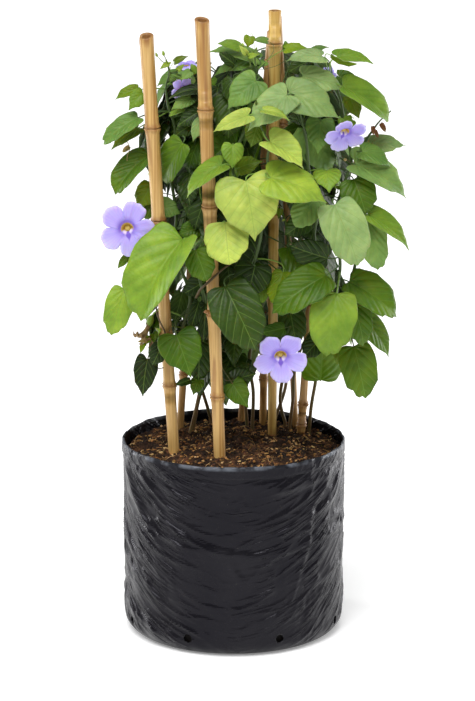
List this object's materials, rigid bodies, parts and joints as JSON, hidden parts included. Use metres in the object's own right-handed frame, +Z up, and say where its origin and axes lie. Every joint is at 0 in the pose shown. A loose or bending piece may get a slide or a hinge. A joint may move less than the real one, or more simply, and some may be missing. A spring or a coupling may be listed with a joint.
{
  "type": "potted thunbergia vine",
  "caption": "Blue-flowered trumpet vine in a round black grow bag of compost, twined up a ring of bamboo canes.",
  "frame": {"origin": "middle of the bag's flat base, on the floor", "axes": "+Z up along the bag's axis, -Y towards the side that the picture shows, +X to that viewer's right"},
  "size_m": [0.3794, 0.3162, 0.7908],
  "materials": {
    "film": "black polyethylene film, creased, with a soft sheen",
    "soil": "damp coir and bark compost, crumbly",
    "bamboo": "dried bamboo culm, satin skin with brown stains at its nodes",
    "yellow_bamboo": "dried yellow bamboo culm, satin skin",
    "leaf": "living leaf and green stem, thin and slightly waxy",
    "petal": "thin matt petal, lavender with a violet throat",
    "dry_petal": "withered petal, dry and papery"
  },
  "bodies": {
    "root": {"grow_bag": "film", "soil": "soil", "cane_1": "bamboo", "cane_2": "bamboo", "cane_3": "bamboo", "cane_4": "yellow_bamboo", "cane_5": "bamboo", "cane_6": "bamboo", "cane_7": "bamboo", "cane_8": "bamboo", "vine_1": "leaf", "vine_2": "leaf", "vine_3": "leaf", "vine_4": "leaf", "vine_5": "leaf", "vine_6": "leaf", "vine_7": "leaf", "vine_8": "leaf", "vine_9": "leaf", "bloom_1": "petal", "bloom_2": "petal", "bloom_3": "petal", "bloom_4": "petal", "bloom_5": "petal", "dry_bloom": "dry_petal"}
  },
  "joints": []
}
